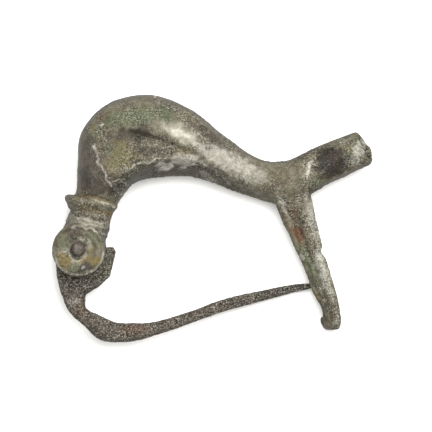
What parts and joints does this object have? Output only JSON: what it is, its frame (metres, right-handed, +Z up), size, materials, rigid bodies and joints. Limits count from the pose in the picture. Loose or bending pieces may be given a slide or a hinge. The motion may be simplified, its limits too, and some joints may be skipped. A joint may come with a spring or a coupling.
{
  "type": "fibula brooch",
  "caption": "Cast bronze bow brooch with a swollen arched bow, upturned foot, rolled catch leg and hinged tapering pin, worn and corroded, lying on its side.",
  "frame": {"origin": "middle of the brooch's box, on the surface it lies on", "axes": "+X along its length from the hinge to the foot, +Y across it from the pin to the top of the bow, +Z up out of the cheek that shows"},
  "size_m": [0.0482, 0.0372, 0.0108],
  "materials": {
    "cast_bronze": "cast bronze with worn olive-brown patina, green and ochre corrosion",
    "axle_bronze": "dark patinated bronze, domed and riveted ends",
    "wrought_bronze": "hammered bronze, rough dark brown corrosion"
  },
  "bodies": {
    "brooch": {"cast_body": "cast_bronze", "hinge_axle": "axle_bronze"},
    "pin_body": {"pin": "wrought_bronze"}
  },
  "joints": [
    {"name": "pin_hinge", "type": "hinge", "parent": "brooch", "child": "pin_body", "pos_m": [-0.02001, -0.00454, 0.00511], "axis": [-0.057, 0.0501, -0.9971], "range_deg": [-12, 95]}
  ]
}
